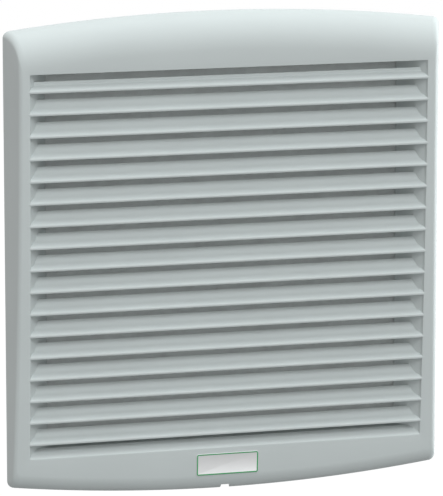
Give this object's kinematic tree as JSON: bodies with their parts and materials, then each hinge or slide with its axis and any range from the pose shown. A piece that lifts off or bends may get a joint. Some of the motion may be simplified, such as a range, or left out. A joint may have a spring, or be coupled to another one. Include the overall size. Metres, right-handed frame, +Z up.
{
  "type": "cabinet filter fan",
  "caption": "Door-mounted filter fan: louvred bowed cover on a hinge, duct frame with snap claws, filter mat and axial fan behind.",
  "frame": {"origin": "centre of the square door cut-out, on the door's outer face", "axes": "+X right seen from the front, +Y into the cabinet, +Z up; the louvred cover faces -Y"},
  "size_m": [0.248, 0.1043, 0.268],
  "materials": {
    "cover_plastic": "fine textured moulded plastic",
    "frame_plastic": "moulded plastic",
    "gasket_foam": "closed cell foam",
    "filter_fleece": "needled fleece",
    "die_cast_black": "black coated die casting",
    "core_steel": "laminated sheet",
    "copper": "enamelled wire",
    "steel": "ground steel",
    "zinc": "zinc plated",
    "guard_wire": "plated wire",
    "black_plastic": "glass filled plastic",
    "ferrite": "sintered",
    "terminal_plastic": "moulded plastic"
  },
  "bodies": {
    "frame": {"base_frame": "frame_plastic", "door_gasket": "gasket_foam", "filter_support": "frame_plastic", "filter_mat": "filter_fleece", "fan_housing": "die_cast_black", "fan_stator": "core_steel", "fan_winding": "copper", "bearing_front": "steel", "bearing_rear": "steel", "finger_guard": "guard_wire", "terminal_block": "terminal_plastic", "terminal_screw_1": "zinc", "terminal_screw_2": "zinc", "fan_screw_1": "zinc", "fan_nut_1": "zinc", "fan_screw_2": "zinc", "fan_nut_2": "zinc", "fan_screw_3": "zinc", "fan_nut_3": "zinc", "fan_screw_4": "zinc", "fan_nut_4": "zinc"},
    "cover": {"front_cover": "cover_plastic"},
    "claw_left_lower": {"claw_left_lower": "frame_plastic"},
    "claw_left_upper": {"claw_left_upper": "frame_plastic"},
    "claw_right_lower": {"claw_right_lower": "frame_plastic"},
    "claw_right_upper": {"claw_right_upper": "frame_plastic"},
    "impeller": {"fan_impeller": "black_plastic", "rotor_ring": "ferrite", "fan_shaft": "steel"}
  },
  "joints": [
    {"name": "cover_hinge", "type": "hinge", "parent": "frame", "child": "cover", "pos_m": [0, -0.0063, 0.1294], "axis": [-1, 0, 0], "range_deg": [0, 85]},
    {"name": "claw_left_lower_flex", "type": "hinge", "parent": "frame", "child": "claw_left_lower", "pos_m": [-0.1096, 0.0236, -0.06], "axis": [0, 0, 1], "range_deg": [0, 8], "stiffness_Nm_per_rad": 0.5},
    {"name": "claw_left_upper_flex", "type": "hinge", "parent": "frame", "child": "claw_left_upper", "pos_m": [-0.1096, 0.0236, 0.06], "axis": [0, 0, 1], "range_deg": [0, 8], "stiffness_Nm_per_rad": 0.5},
    {"name": "claw_right_lower_flex", "type": "hinge", "parent": "frame", "child": "claw_right_lower", "pos_m": [0.1096, 0.0236, -0.06], "axis": [0, 0, -1], "range_deg": [0, 8], "stiffness_Nm_per_rad": 0.5},
    {"name": "claw_right_upper_flex", "type": "hinge", "parent": "frame", "child": "claw_right_upper", "pos_m": [0.1096, 0.0236, 0.06], "axis": [0, 0, -1], "range_deg": [0, 8], "stiffness_Nm_per_rad": 0.5},
    {"name": "impeller_spin", "type": "hinge", "parent": "frame", "child": "impeller", "pos_m": [0, 0.0528, 0], "axis": [0, 1, 0], "continuous": true}
  ]
}
